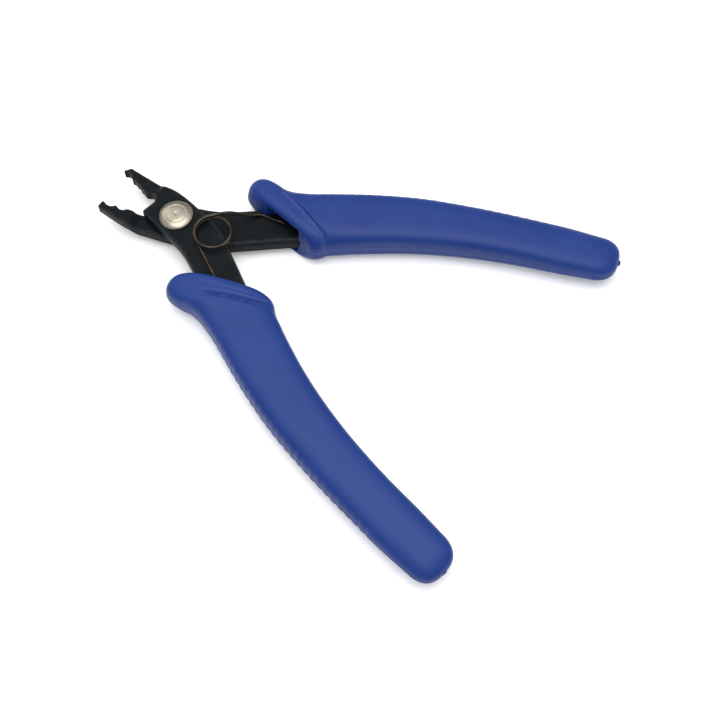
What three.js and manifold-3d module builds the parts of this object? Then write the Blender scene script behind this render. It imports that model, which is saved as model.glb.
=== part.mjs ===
// Notched-jaw hand pliers: two stamped steel halves lapped on one rivet, a torsion
// spring that opens them, and a moulded grip pushed over each arm.
//
// Millimetres, +Z up. The pivot axis is Z. +X runs from the pivot towards the ends of
// the handles, along the line that halves the angle between them, and the tool is
// stored open. The origin is on the pivot axis, on the flat foot of the rivet.
//
// Each half is drawn in its own frame: X from the pivot towards the handles and Y
// outwards on the side of its own arm, so that its jaw lies at negative X and negative
// Y and faces the other jaw across Y = 0. The drawing is then mirrored for each side and
// turned out by OPEN_ANGLE. Closing turns both back until the inner corners of the grips
// meet, 1.5 degrees before the drawn position, with the jaw tips just apart.

import * as THREE from 'three';
import { mergeVertices } from 'three/addons/utils/BufferGeometryUtils.js';
import Module from 'manifold-3d';

const wasm = await Module();
wasm.setup();

// ---- driving dimensions (mm, degrees) ----
const PLATE = 2.8;            // thickness of each stamped half
const PLATE_GAP = 0.1;        // running gap between the halves
const OPEN_ANGLE = 15;        // how far each half is turned out from closed

const BOSS_HALF_WIDTH = 5.3;  // the lapped boss round the rivet
const BOSS_FRONT = -7.1;      // its front edge, across the root of the jaw
const BOSS_CORNER = 1.2;
const JOG_START = -9.0;       // the jaw steps sideways by half the thickness here
const JOG_END = -10.4;
const JAW_FACE = 0.2;         // how far the tip of each jaw reaches over Y = 0
const TANG_END = 98;          // where the arm ends, inside its grip

const RIVET_SHANK_RADIUS = 3.0;
const RIVET_RUNNING_GAP = 0.08;
const RIVET_HEAD_RADIUS = 4.3;
const RIVET_HEAD_HEIGHT = 1.1;
const RIVET_FOOT_RADIUS = 3.9;
const RIVET_FOOT_HEIGHT = 0.8;
const RIVET_FACETS = 64;

const WIRE = 0.8;             // spring wire diameter
const WIRE_SIDES = 8;
const WIRE_REST_GAP = 0.1;    // between the wire and the steel it lies on
const COIL_CENTRE_X = 11.2;
const COIL_RADIUS = 4.55;     // to the middle of the wire
const COIL_PITCH = 0.9;
const COIL_STEPS = 36;
const UPPER_LEG_ANGLE = -33;  // direction of the leg on the upper half's arm
const LOWER_LEG_ANGLE = 44;   // direction of the leg on the lower half's arm
const UPPER_LEG_LENGTH = 16;
const LOWER_LEG_LENGTH = 12.6;
const HOOK_REACH = 3.2;       // last stretch of each leg, bent along the arm
const HOOK_DEPTH = 1.9;       // bent down into the arm
const HOOK_HOLE_RADIUS = 0.75;

const GRIP_HALF_THICKNESS = 4.9;
const GRIP_ROUNDING = 2.3;
const GRIP_ROUNDING_STEPS = 3;
const GRIP_CLEARANCE = 0.3;   // between the tang and the pocket that takes it
const THROAT_HALF_HEIGHT = 3.95; // the mouth is deeper, to take the spring's leg too
const THROAT_END = 32;

const PLATE_FOOT = PLATE_GAP / 2;
const PLATE_TOP = PLATE_FOOT + PLATE;
const MATING_PLANE_Z = PLATE_TOP + PLATE_GAP / 2 + RIVET_FOOT_HEIGHT;
const PLATE_CURVE_STEPS = 5;
const GRIP_CURVE_STEPS = 7;

// ---- materials ----
const blackenedSteel = new THREE.MeshStandardMaterial({ color: 0x1e2226, roughness: 0.45, metalness: 0.85 });
const nickel = new THREE.MeshStandardMaterial({ color: 0xcfc9bb, roughness: 0.3, metalness: 1 });
const springSteel = new THREE.MeshStandardMaterial({ color: 0x4a443e, roughness: 0.4, metalness: 0.9 });
const bluePlastic = new THREE.MeshStandardMaterial({ color: 0x1f3a9a, roughness: 0.45, metalness: 0 });

// ---- solids ----
function solidFrom(geometry) {
  const bare = geometry.index ? geometry.toNonIndexed() : geometry.clone();
  bare.deleteAttribute('normal');
  bare.deleteAttribute('uv');
  const merged = mergeVertices(bare, 1e-4);
  const mesh = new wasm.Mesh({
    numProp: 3,
    vertProperties: Float32Array.from(merged.attributes.position.array),
    triVerts: Uint32Array.from(merged.index.array),
  });
  return new wasm.Manifold(mesh);
}

function geometryFrom(solid) {
  const mesh = solid.getMesh();
  const geometry = new THREE.BufferGeometry();
  geometry.setAttribute('position', new THREE.BufferAttribute(Float32Array.from(mesh.vertProperties), 3));
  geometry.setIndex(new THREE.BufferAttribute(Uint32Array.from(mesh.triVerts), 1));
  geometry.computeVertexNormals();
  return geometry;
}

// A plan outline between two heights, grown outwards by margin.
function slab(outline, low, high, curveSegments, margin = 0) {
  const geometry = new THREE.ExtrudeGeometry(outline, {
    depth: high - low,
    curveSegments,
    bevelEnabled: margin > 0,
    bevelThickness: 0,
    bevelSize: margin,
    bevelSegments: 1,
  });
  geometry.translate(0, 0, low);
  return solidFrom(geometry);
}

function block(minimum, maximum) {
  const size = new THREE.Vector3().subVectors(maximum, minimum);
  const centre = new THREE.Vector3().addVectors(minimum, maximum).multiplyScalar(0.5);
  const geometry = new THREE.BoxGeometry(size.x, size.y, size.z);
  geometry.translate(centre.x, centre.y, centre.z);
  return solidFrom(geometry);
}

function upright(radius, low, high, facets, x = 0, y = 0) {
  const geometry = new THREE.CylinderGeometry(radius, radius, high - low, facets);
  geometry.rotateX(Math.PI / 2);
  geometry.translate(x, y, (low + high) / 2);
  return solidFrom(geometry);
}

// ---- the halves ----
// Working edge of each jaw, from the tip back to the boss. Every entry is a tooth or
// ridge end and the depth of the hollow that leads to it: [x, y, hollow]. The depth
// points steer the curve of the jaw's outer edge.
const lowerJaw = {
  tip: -20.6,
  tipInner: -19.7,
  depth: [[-17, -3.0], [-13, -4.7]],
  teeth: [
    [-16.5, -0.35, 1.3],
    [-13.2, -0.7, 1.4],
    [-11.4, -0.9, 0],
    [-9.2, -1.3, 0.8],
  ],
};
const upperJaw = {
  tip: -21.0,
  tipInner: -20.2,
  depth: [[-17, -2.4], [-13, -3.3]],
  teeth: [
    [-17.7, 0, 1.1],
    [-15.7, 0, 0.4],
    [-13.8, 0.1, 0.4],
    [-11.7, 0.15, 0],
    [-9.7, -0.5, 0.3],
  ],
};

// Outline of one whole half: jaw, boss and arm with its tang.
function halfOutline({ tip, tipInner, depth, teeth }) {
  const outline = new THREE.Shape();
  outline.moveTo(tip, -1.5);
  outline.bezierCurveTo(tip - 0.1, -0.4, (tip + tipInner) / 2 - 0.3, JAW_FACE, tipInner, JAW_FACE);
  let x = tipInner;
  let y = JAW_FACE;
  for (const [toothX, toothY, hollow] of teeth) {
    if (hollow > 0) outline.bezierCurveTo(x + 0.5, y - hollow, toothX - 0.7, toothY - hollow, toothX, toothY);
    else outline.lineTo(toothX, toothY);
    x = toothX;
    y = toothY;
  }
  outline.quadraticCurveTo(BOSS_FRONT - 0.2, y, BOSS_FRONT, 1.2);
  outline.lineTo(BOSS_FRONT, BOSS_HALF_WIDTH - BOSS_CORNER);
  outline.quadraticCurveTo(BOSS_FRONT, BOSS_HALF_WIDTH, BOSS_FRONT + BOSS_CORNER, BOSS_HALF_WIDTH);
  outline.lineTo(4.5, BOSS_HALF_WIDTH);
  outline.bezierCurveTo(11, 5.9, 16, 7.6, 22, 10.2);
  outline.bezierCurveTo(32, 14.2, 46, 17.4, 62, 18.6);
  outline.bezierCurveTo(72, 19.2, 86, 19.3, TANG_END - 1.5, 19.3);
  outline.quadraticCurveTo(TANG_END, 19.3, TANG_END, 17.8);
  outline.quadraticCurveTo(TANG_END, 16.2, TANG_END - 1.5, 16.1);
  outline.bezierCurveTo(84, 15.8, 72, 14.4, 62, 11.9);
  outline.bezierCurveTo(50, 8.6, 38, 4.7, 28, 1.2);
  outline.lineTo(16, -3.2);
  outline.quadraticCurveTo(12, -4.9, 8, -5.1);
  outline.lineTo(1.5, -BOSS_HALF_WIDTH);
  outline.bezierCurveTo(-4, -BOSS_HALF_WIDTH, -7, -5.2, -9, -4.8);
  outline.bezierCurveTo(...depth[1], ...depth[0], tip, -1.5);
  return outline;
}

// The arm alone, from inside the boss outwards, for the pocket in its grip.
function tangOutline() {
  const outline = new THREE.Shape();
  outline.moveTo(10, 5.8);
  outline.bezierCurveTo(14, 6.7, 17, 8, 22, 10.2);
  outline.bezierCurveTo(32, 14.2, 46, 17.4, 62, 18.6);
  outline.bezierCurveTo(72, 19.2, 86, 19.3, TANG_END, 19.3);
  outline.lineTo(TANG_END, 16.1);
  outline.bezierCurveTo(84, 15.8, 72, 14.4, 62, 11.9);
  outline.bezierCurveTo(50, 8.6, 38, 4.7, 28, 1.2);
  outline.lineTo(10, -5.4);
  outline.closePath();
  return outline;
}

// Side view of the upper half: flat over the boss and arm, and stepped down by half
// a thickness along the jaw, so that the two jaws meet level.
function sideProfile() {
  const jawFoot = -PLATE / 2;
  const jawTop = PLATE / 2;
  const far = 130;
  const outline = new THREE.Shape();
  outline.moveTo(far, PLATE_FOOT);
  outline.lineTo(far, PLATE_TOP);
  outline.lineTo(JOG_START, PLATE_TOP);
  outline.lineTo(JOG_END, jawTop);
  outline.lineTo(-far, jawTop);
  outline.lineTo(-far, jawFoot);
  outline.lineTo(JOG_END, jawFoot);
  outline.lineTo(JOG_START, PLATE_FOOT);
  outline.closePath();
  const geometry = new THREE.ExtrudeGeometry(outline, { depth: 2 * far, bevelEnabled: false });
  geometry.rotateX(Math.PI / 2);
  geometry.translate(0, far, 0);
  return solidFrom(geometry);
}

function plierHalf(jaw, hook) {
  const plan = slab(halfOutline(jaw), -PLATE_TOP, PLATE_TOP, PLATE_CURVE_STEPS);
  const bore = upright(RIVET_SHANK_RADIUS + RIVET_RUNNING_GAP, -PLATE_TOP, 2 * PLATE_TOP, RIVET_FACETS);
  const hookHole = upright(HOOK_HOLE_RADIUS, -PLATE_TOP, 2 * PLATE_TOP, 16, hook.x, hook.y);
  return plan.intersect(sideProfile()).subtract(bore).subtract(hookHole);
}

// ---- the grips ----
// Plan outline of a grip: a finger guard at the mouth, with an ear on the outside and
// a lip on the inside, then a curved handle with a rounded end.
function gripOutline() {
  const outline = new THREE.Shape();
  outline.moveTo(17.4, 8.1);
  outline.bezierCurveTo(16.0, 9.4, 14.6, 11.6, 14.8, 14);
  outline.bezierCurveTo(15, 16, 16.8, 17, 19, 16.4);
  outline.bezierCurveTo(21, 15.6, 22.4, 14.5, 25, 14.6);
  outline.bezierCurveTo(36, 16.4, 46, 19.6, 58, 21.8);
  outline.bezierCurveTo(70, 23.8, 90, 23.8, 103, 23.7);
  outline.bezierCurveTo(107.4, 23.2, 109.7, 20.8, 109.8, 17.8);
  outline.bezierCurveTo(109.8, 14.6, 107.6, 12.2, 104, 11.9);
  outline.bezierCurveTo(90, 11.6, 78, 11.1, 66, 9.2);
  outline.bezierCurveTo(54, 7.0, 48, 4.3, 42, 2.7);
  outline.bezierCurveTo(39, 1.9, 38.2, -0.6, 35.2, -0.7);
  outline.bezierCurveTo(33.4, -0.7, 32.4, -0.1, 30.8, 0.8);
  outline.closePath();
  return outline;
}

function grip() {
  const geometry = new THREE.ExtrudeGeometry(gripOutline(), {
    depth: 2 * (GRIP_HALF_THICKNESS - GRIP_ROUNDING),
    curveSegments: GRIP_CURVE_STEPS,
    bevelEnabled: true,
    bevelThickness: GRIP_ROUNDING,
    bevelSize: GRIP_ROUNDING,
    bevelOffset: -GRIP_ROUNDING,
    bevelSegments: GRIP_ROUNDING_STEPS,
  });
  geometry.translate(0, 0, GRIP_ROUNDING - GRIP_HALF_THICKNESS);
  const pocketFoot = PLATE_FOOT - GRIP_CLEARANCE;
  const pocketTop = PLATE_TOP + GRIP_CLEARANCE;
  const pocket = slab(tangOutline(), pocketFoot, pocketTop, PLATE_CURVE_STEPS, GRIP_CLEARANCE);
  const deepPocket = slab(
    tangOutline(), -THROAT_HALF_HEIGHT, THROAT_HALF_HEIGHT, PLATE_CURVE_STEPS, GRIP_CLEARANCE,
  );
  const throatReach = block(new THREE.Vector3(0, -20, -10), new THREE.Vector3(THROAT_END, 40, 10));
  return solidFrom(geometry).subtract(pocket).subtract(deepPocket.intersect(throatReach));
}

// ---- the rivet ----
function rivet() {
  const headFoot = PLATE_TOP + PLATE_GAP / 2;
  const headTop = headFoot + RIVET_HEAD_HEIGHT;
  const footTop = -headFoot;
  const footBottom = footTop - RIVET_FOOT_HEIGHT;
  const profile = [
    [0, footBottom],
    [RIVET_FOOT_RADIUS - 0.7, footBottom],
    [RIVET_FOOT_RADIUS, footBottom + 0.5],
    [RIVET_FOOT_RADIUS, footTop],
    [RIVET_SHANK_RADIUS, footTop],
    [RIVET_SHANK_RADIUS, headFoot],
    [RIVET_HEAD_RADIUS, headFoot],
    [RIVET_HEAD_RADIUS, headTop - 0.55],
    [RIVET_HEAD_RADIUS - 0.35, headTop - 0.15],
    [RIVET_HEAD_RADIUS - 1.1, headTop],
    [0, headTop],
  ];
  const geometry = new THREE.LatheGeometry(profile.map(([x, y]) => new THREE.Vector2(x, y)), RIVET_FACETS);
  geometry.rotateX(Math.PI / 2);
  return geometryFrom(solidFrom(geometry));
}

// ---- the spring ----
const radians = THREE.MathUtils.degToRad;

function direction(degrees) {
  return new THREE.Vector3(Math.cos(radians(degrees)), Math.sin(radians(degrees)), 0);
}

// Where a leg of the given direction touches the coil: side is +1 where the coil's
// centre lies to the right of the leg, seen along it, and -1 where it lies to the left.
function tangentAngle(legAngle, side) {
  return legAngle + 90 * side;
}

const wireOnUpper = PLATE_TOP + WIRE_REST_GAP + WIRE / 2;
const wireOnLower = -PLATE_FOOT + WIRE_REST_GAP + WIRE / 2;
const coilStart = tangentAngle(UPPER_LEG_ANGLE, -1) + 360;
const coilEnd = tangentAngle(LOWER_LEG_ANGLE, 1) - 360;
const coilTurns = (coilStart - coilEnd) / 360;

function coilPoint(share) {
  const angle = THREE.MathUtils.lerp(coilStart, coilEnd, share);
  const point = direction(angle).multiplyScalar(COIL_RADIUS);
  point.x += COIL_CENTRE_X;
  point.z = wireOnUpper + share * coilTurns * COIL_PITCH;
  return point;
}

// The two places where a leg turns down into its arm, at rest.
function hookPlace(from, legAngle, length, armAngle, height) {
  const bend = from.clone().addScaledVector(direction(legAngle), length);
  bend.z = height;
  return { bend, foot: bend.clone().addScaledVector(direction(armAngle), HOOK_REACH) };
}

const upperLeg = hookPlace(coilPoint(0), UPPER_LEG_ANGLE, UPPER_LEG_LENGTH, -22, wireOnUpper);
const lowerLeg = hookPlace(coilPoint(1), LOWER_LEG_ANGLE, LOWER_LEG_LENGTH, 8, wireOnLower);

function stretch(from, to, steps) {
  return Array.from({ length: steps }, (_, i) => from.clone().lerp(to, i / steps));
}

function returnSpring() {
  const down = new THREE.Vector3(0, 0, -HOOK_DEPTH);
  const upperTip = upperLeg.foot.clone().add(down);
  const lowerTip = lowerLeg.foot.clone().add(down);
  const coil = Array.from({ length: COIL_STEPS + 1 }, (_, i) => coilPoint(i / COIL_STEPS));
  const points = [
    upperTip,
    upperLeg.foot.clone().addScaledVector(down, 0.3),
    ...stretch(upperLeg.foot.clone().lerp(upperLeg.bend, 0.25), upperLeg.bend, 2),
    ...stretch(upperLeg.bend, coil[0], 5),
    ...coil,
    ...stretch(coil[COIL_STEPS], lowerLeg.bend, 5).slice(1),
    ...stretch(lowerLeg.bend, lowerLeg.foot.clone().lerp(lowerLeg.bend, 0.25), 2),
    lowerLeg.foot.clone().addScaledVector(down, 0.3),
    lowerTip,
  ];
  const section = new THREE.Shape();
  section.absarc(0, 0, WIRE / 2, 0, 2 * Math.PI);
  const geometry = new THREE.ExtrudeGeometry(section, {
    steps: points.length * 2,
    curveSegments: WIRE_SIDES / 2,
    bevelEnabled: false,
    extrudePath: new THREE.CatmullRomCurve3(points, false, 'centripetal'),
  });
  return geometryFrom(solidFrom(geometry));
}

// ---- assembly ----
function piece(name, geometry, material) {
  const mesh = new THREE.Mesh(geometry, material);
  mesh.name = name;
  return mesh;
}

const pliers = new THREE.Group();
pliers.position.z = MATING_PLANE_Z;

const upperSide = new THREE.Group();
upperSide.rotation.set(0, 0, -radians(OPEN_ANGLE));
const lowerSide = new THREE.Group();
lowerSide.rotation.set(0, 0, radians(OPEN_ANGLE));
pliers.add(upperSide, lowerSide);

// A half drawn in its own frame has its arm at positive Y. The upper one is mirrored
// in Y, the lower one in Z, so both keep the same drawing.
function mirrored(solid, x, y, z) {
  return solid.scale([x, y, z]);
}

function inOwnFrame(point, side) {
  const turn = new THREE.Vector3(0, 0, 1);
  const local = point.clone().applyAxisAngle(turn, -side * radians(OPEN_ANGLE));
  return { x: local.x, y: side * local.y };
}

const upperHalf = mirrored(plierHalf(upperJaw, inOwnFrame(upperLeg.foot, -1)), 1, -1, 1);
const lowerHalf = mirrored(plierHalf(lowerJaw, inOwnFrame(lowerLeg.foot, 1)), 1, 1, -1);

upperSide.add(piece('upper_half', geometryFrom(upperHalf), blackenedSteel));
upperSide.add(piece('upper_grip', geometryFrom(mirrored(grip(), 1, -1, 1)), bluePlastic));
lowerSide.add(piece('lower_half', geometryFrom(lowerHalf), blackenedSteel));
lowerSide.add(piece('lower_grip', geometryFrom(mirrored(grip(), 1, 1, -1)), bluePlastic));
pliers.add(piece('pivot_rivet', rivet(), nickel));
pliers.add(piece('return_spring', returnSpring(), springSteel));

export default pliers;
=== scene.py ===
import math

import bmesh
import bpy
import numpy as np
from mathutils import Matrix, Vector
from mathutils.geometry import delaunay_2d_cdt


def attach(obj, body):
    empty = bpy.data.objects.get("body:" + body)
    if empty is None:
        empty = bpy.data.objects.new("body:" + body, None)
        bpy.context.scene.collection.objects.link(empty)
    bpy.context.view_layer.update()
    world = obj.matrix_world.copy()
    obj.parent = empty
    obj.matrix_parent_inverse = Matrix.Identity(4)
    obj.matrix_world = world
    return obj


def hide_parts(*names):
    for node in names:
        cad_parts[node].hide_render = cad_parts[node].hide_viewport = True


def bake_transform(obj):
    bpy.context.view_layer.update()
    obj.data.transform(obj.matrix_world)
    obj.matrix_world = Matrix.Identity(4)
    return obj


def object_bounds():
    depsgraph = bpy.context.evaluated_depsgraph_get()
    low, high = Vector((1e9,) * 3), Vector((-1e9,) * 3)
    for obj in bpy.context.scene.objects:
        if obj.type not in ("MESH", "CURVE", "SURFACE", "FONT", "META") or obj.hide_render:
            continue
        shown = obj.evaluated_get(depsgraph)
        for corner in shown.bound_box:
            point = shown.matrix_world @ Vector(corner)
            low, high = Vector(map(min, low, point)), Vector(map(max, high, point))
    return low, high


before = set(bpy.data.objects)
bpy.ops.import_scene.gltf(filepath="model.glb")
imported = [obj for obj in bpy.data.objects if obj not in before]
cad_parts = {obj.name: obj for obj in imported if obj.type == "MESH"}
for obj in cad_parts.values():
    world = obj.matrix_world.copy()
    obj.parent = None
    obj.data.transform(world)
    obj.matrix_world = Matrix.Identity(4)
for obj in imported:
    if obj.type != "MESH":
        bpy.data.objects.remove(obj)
cad_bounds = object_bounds()

# Lengths are in millimetres until a mesh is made. Each half is drawn in its own frame:
# X from the pivot towards the handles, Y outwards on the side of its own arm, Z = 0 on
# the plane where the two halves meet, and Z growing away from the other half.
MM = 0.001
# each half goes by the sign of Y on the side of its own arm
LOWER, UPPER = 1, -1
OPEN_ANGLE = math.radians(15)
MATING_Z = 3.7
PLATE = 2.8
PLATE_GAP = 0.1
PLATE_FOOT = PLATE_GAP / 2
PLATE_TOP = PLATE_FOOT + PLATE


# ---- curves ----
KNOT_POWER = 0.75


def segment_lengths(points):
    return np.linalg.norm(np.diff(points, axis=0), axis=1)


def running_length(points):
    """How far along the line each of its points is."""
    return np.r_[0, np.cumsum(segment_lengths(points))]


def spline(points, step):
    """A smooth run through the points, sampled about every step, both ends included."""
    p = np.asarray(points, float)
    lengths = segment_lengths(p)
    if len(p) == 2:
        count = max(1, round(float(lengths[0]) / step))
        share = np.linspace(0, 1, count + 1)[:, None]
        return p[0] * (1 - share) + p[1] * share
    knots = np.r_[0, np.cumsum(lengths**KNOT_POWER)]
    count = max(2, round(float(lengths.sum()) / step))
    return hermite(knots, p, np.linspace(0, knots[-1], count + 1))


def hermite(knots, values, at):
    """Values given at the knots, joined by smooth cubics, at the places asked for."""
    width = np.diff(knots)[:, None]
    slope = np.diff(values, axis=0) / width
    before, after = width[:-1], width[1:]
    middle = (slope[:-1] * after + slope[1:] * before) / (before + after)
    tangent = np.vstack([slope[:1], middle, slope[-1:]])
    at = np.clip(at, knots[0], knots[-1])
    i = np.clip(np.searchsorted(knots, at, side="right") - 1, 0, len(knots) - 2)
    h = width[i]
    t = ((at - knots[i])[:, None]) / h
    return (
        values[i] * (1 + 2 * t) * (1 - t) ** 2
        + tangent[i] * h * t * (1 - t) ** 2
        + values[i + 1] * t * t * (3 - 2 * t)
        + tangent[i + 1] * h * t * t * (t - 1)
    )


def smooth(low, high, x):
    """0 below low, 1 above high, and a smooth step between them."""
    t = np.clip((np.asarray(x, float) - low) / (high - low), 0, 1)
    return t * t * (3 - 2 * t)


def bell(x, centre, width):
    """1 at the centre, fading to nothing within a few widths."""
    return np.exp(-(((x - centre) / width) ** 2))


def circle(radius, count, centre=(0, 0)):
    a = np.linspace(0, 2 * math.pi, count, endpoint=False)
    return np.column_stack([centre[0] + radius * np.cos(a), centre[1] + radius * np.sin(a)])


def chain(runs, step):
    """Runs that join at corners, as one closed row of points, and the number of each point's run."""
    rows = [spline(run, step)[:-1] for run in runs]
    return np.vstack(rows), np.concatenate([np.full(len(r), i) for i, r in enumerate(rows)])


def distance_to(points, line, closed=False):
    """Distance of each point from a line of points in the plane."""
    starts = np.asarray(line, float)
    ends = np.roll(starts, -1, axis=0)
    if not closed:
        starts, ends = starts[:-1], ends[:-1]
    best = np.full(len(points), np.inf)
    for start, end in zip(starts, ends):
        d = end - start
        t = np.clip(((points - start) @ d) / max(d @ d, 1e-12), 0, 1)
        best = np.minimum(best, np.linalg.norm(points - start - t[:, None] * d, axis=1))
    return best


def inside(points, loop):
    """Whether each point is inside a closed loop in the plane."""
    x, y = points[:, 0], points[:, 1]
    odd = np.zeros(len(points), bool)
    for (ax, ay), (bx, by) in zip(loop, np.roll(loop, -1, axis=0)):
        crosses = (ay > y) != (by > y)
        odd ^= crosses & (x < (bx - ax) * (y - ay) / np.where(by == ay, 1e-12, by - ay) + ax)
    return odd


def lifted(xy, z):
    """Points of the plane, put at a height or at a height each."""
    return np.column_stack([xy, np.broadcast_to(z, len(xy))])


# ---- meshes ----
MERGE_DISTANCE = 2e-7
SHORTEST_EDGE = 1e-7


def in_frame(points):
    """Points on the pivot's axis, with Z = 0 on the mating plane, in the row frame in metres."""
    return (np.asarray(points, float) + (0, 0, MATING_Z)) * MM


def on_side(points, side):
    """Points of a half's own frame, in the row frame in metres."""
    p = np.asarray(points, float)
    x, y, z = p[:, 0], p[:, 1] * side, p[:, 2] * -side
    c, s = math.cos(side * OPEN_ANGLE), math.sin(side * OPEN_ANGLE)
    return in_frame(np.column_stack([c * x - s * y, s * x + c * y, z]))


class Shell:
    """The points of one closed mesh, each with a mark from 0 to 1, and the faces between them."""

    def __init__(self):
        self.points = []
        self.marks = []
        self.faces = []

    def add(self, points, marks=0.0):
        """Adds a row of points and returns their numbers."""
        start = len(self.points)
        self.points.extend(points)
        self.marks.extend(np.broadcast_to(marks, len(points)))
        return list(range(start, len(self.points)))

    def join(self, *rings):
        """Adds quads between each closed ring and the next one."""
        for first, second in zip(rings, rings[1:]):
            n = len(first)
            for i in range(n):
                self.faces.append((first[i], first[(i + 1) % n], second[(i + 1) % n], second[i]))


def shade(mesh, sharp):
    """Smooth shading, except across edges that turn by more than this many degrees."""
    mesh.polygons.foreach_set("use_smooth", [True] * len(mesh.polygons))
    mesh.set_sharp_from_angle(angle=math.radians(sharp))


def mesh_object(name, points, faces, sharp, attributes=None):
    """A closed mesh from points in metres. Doubles are merged and faces turned outwards."""
    mesh = bpy.data.meshes.new(name)
    mesh.from_pydata([tuple(p) for p in points], [], [tuple(f) for f in faces])
    for key, values in (attributes or {}).items():
        attribute = mesh.attributes.new(key, "FLOAT", "POINT")
        attribute.data.foreach_set("value", np.asarray(values, np.float32))
    b = bmesh.new()
    b.from_mesh(mesh)
    bmesh.ops.remove_doubles(b, verts=b.verts, dist=MERGE_DISTANCE)
    bmesh.ops.dissolve_degenerate(b, edges=b.edges, dist=SHORTEST_EDGE)
    bmesh.ops.recalc_face_normals(b, faces=b.faces)
    if b.calc_volume(signed=True) < 0:
        bmesh.ops.reverse_faces(b, faces=b.faces)
    b.to_mesh(mesh)
    b.free()
    shade(mesh, sharp)
    obj = bpy.data.objects.new(name, mesh)
    bpy.context.scene.collection.objects.link(obj)
    return obj


# ---- materials ----
STEEL_DARK = (0.0028, 0.0044, 0.0056, 1)
STEEL_LIGHT = (0.0055, 0.0082, 0.0102, 1)
STEEL_BROWN = (0.060, 0.043, 0.032, 1)
# bare grey steel of wear, also painted along the rims as a highlight
STEEL_WORN_AND_HIGHLIGHT = (0.050, 0.052, 0.055, 1)
NICKEL_DARK = (0.285, 0.26, 0.21, 1)
NICKEL_LIGHT = (0.345, 0.32, 0.26, 1)
NICKEL_PITS = (0.21, 0.17, 0.12, 1)
WIRE_DARK = (0.026, 0.021, 0.017, 1)
WIRE_LIGHT = (0.065, 0.050, 0.036, 1)
VINYL_DARK = (0.0075, 0.031, 0.178, 1)
VINYL_LIGHT = (0.0105, 0.037, 0.198, 1)
# painted highlight: a paler blue laid along the lip's crests and the parting line
VINYL_PAINTED_HIGHLIGHT = (0.040, 0.075, 0.27, 1)
FLOOR_WHITE = (0.9, 0.9, 0.9, 1)
WHITE = (1, 1, 1, 1)


class Shader:
    """A node material: one Principled shader, and short calls that add and join nodes."""

    def __init__(self, name, **sockets):
        self.material = bpy.data.materials.new(name)
        self.material.use_nodes = True
        self.tree = self.material.node_tree
        self.surface = self.tree.nodes["Principled BSDF"]
        for key, value in sockets.items():
            self.surface.inputs[key.replace("_", " ")].default_value = value

    def node(self, kind, **settings):
        made = self.tree.nodes.new(kind)
        for key, value in settings.items():
            setattr(made, key, value)
        return made

    def put(self, target, value):
        """Sets an input to a number or a colour, or joins it to another node's output."""
        if isinstance(value, bpy.types.NodeSocket):
            self.tree.links.new(value, target)
        else:
            target.default_value = value

    def noise(self, scale, detail=3, roughness=0.55, stretch=None):
        place = self.node("ShaderNodeTexCoord").outputs["Object"]
        if stretch:
            mapping = self.node("ShaderNodeMapping")
            mapping.inputs["Scale"].default_value = stretch
            self.put(mapping.inputs["Vector"], place)
            place = mapping.outputs["Vector"]
        made = self.node("ShaderNodeTexNoise")
        settings = {"Vector": place, "Scale": scale, "Detail": detail, "Roughness": roughness}
        for key, value in settings.items():
            self.put(made.inputs[key], value)
        return made.outputs["Fac"]

    def attribute(self, name):
        return self.node("ShaderNodeAttribute", attribute_name=name).outputs["Fac"]

    def math(self, operation, a, b, clamp=False):
        made = self.node("ShaderNodeMath", operation=operation, use_clamp=clamp)
        self.put(made.inputs[0], a)
        self.put(made.inputs[1], b)
        return made.outputs[0]

    def range(self, value, low, high, to_low=0.0, to_high=1.0):
        made = self.node("ShaderNodeMapRange")
        self.put(made.inputs["Value"], value)
        for key, number in (("From Min", low), ("From Max", high), ("To Min", to_low), ("To Max", to_high)):
            made.inputs[key].default_value = number
        return made.outputs["Result"]

    def mix(self, share, a, b):
        made = self.node("ShaderNodeMix", data_type="RGBA")
        self.put(made.inputs["Factor"], share)
        self.put(made.inputs["A"], a)
        self.put(made.inputs["B"], b)
        return made.outputs["Result"]

    def bump(self, height, strength, distance, under=None):
        """A bump, on top of another one where there is one. Its distance is in metres."""
        made = self.node("ShaderNodeBump")
        made.inputs["Strength"].default_value = strength
        made.inputs["Distance"].default_value = distance
        self.put(made.inputs["Height"], height)
        if under:
            self.put(made.inputs["Normal"], under)
        return made.outputs["Normal"]

    def finish(self, colour, roughness, normal):
        for key, socket in (("Base Color", colour), ("Roughness", roughness), ("Normal", normal)):
            self.put(self.surface.inputs[key], socket)
        return self.material


def black_steel():
    """Blackened plate: fine grain, drawn streaks, bare edges from wear with a painted highlight along them,
    and a brown stain at the jaw's step.
    """
    s = Shader("black_steel", Metallic=0.0, IOR=1.5, Specular_IOR_Level=0.08)
    cloud = s.noise(260, 4)
    grain = s.noise(2600, 5, 0.6)
    streak = s.noise(900, 3, 0.6, stretch=(0.25, 2.2, 1))
    base = s.mix(s.range(cloud, 0.35, 0.7), STEEL_DARK, STEEL_LIGHT)
    brown = s.math("MULTIPLY", s.attribute("heat"), s.range(grain, 0.35, 0.6), clamp=True)
    base = s.mix(brown, base, STEEL_BROWN)
    # wear and painted highlight: the edge marks lighten the rims towards bare grey steel
    wear_and_highlight = s.math("MULTIPLY", s.attribute("edge"), s.range(grain, 0.40, 0.68, 0.1, 0.8), clamp=True)
    base = s.mix(wear_and_highlight, base, STEEL_WORN_AND_HIGHLIGHT)
    rough = s.math("ADD", s.range(grain, 0.3, 0.7, 0.36, 0.52), s.range(streak, 0.3, 0.7, -0.04, 0.05))
    normal = s.bump(grain, 0.25, 0.00004)
    normal = s.bump(streak, 0.18, 0.00004, under=normal)
    return s.finish(base, rough, normal)


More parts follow.
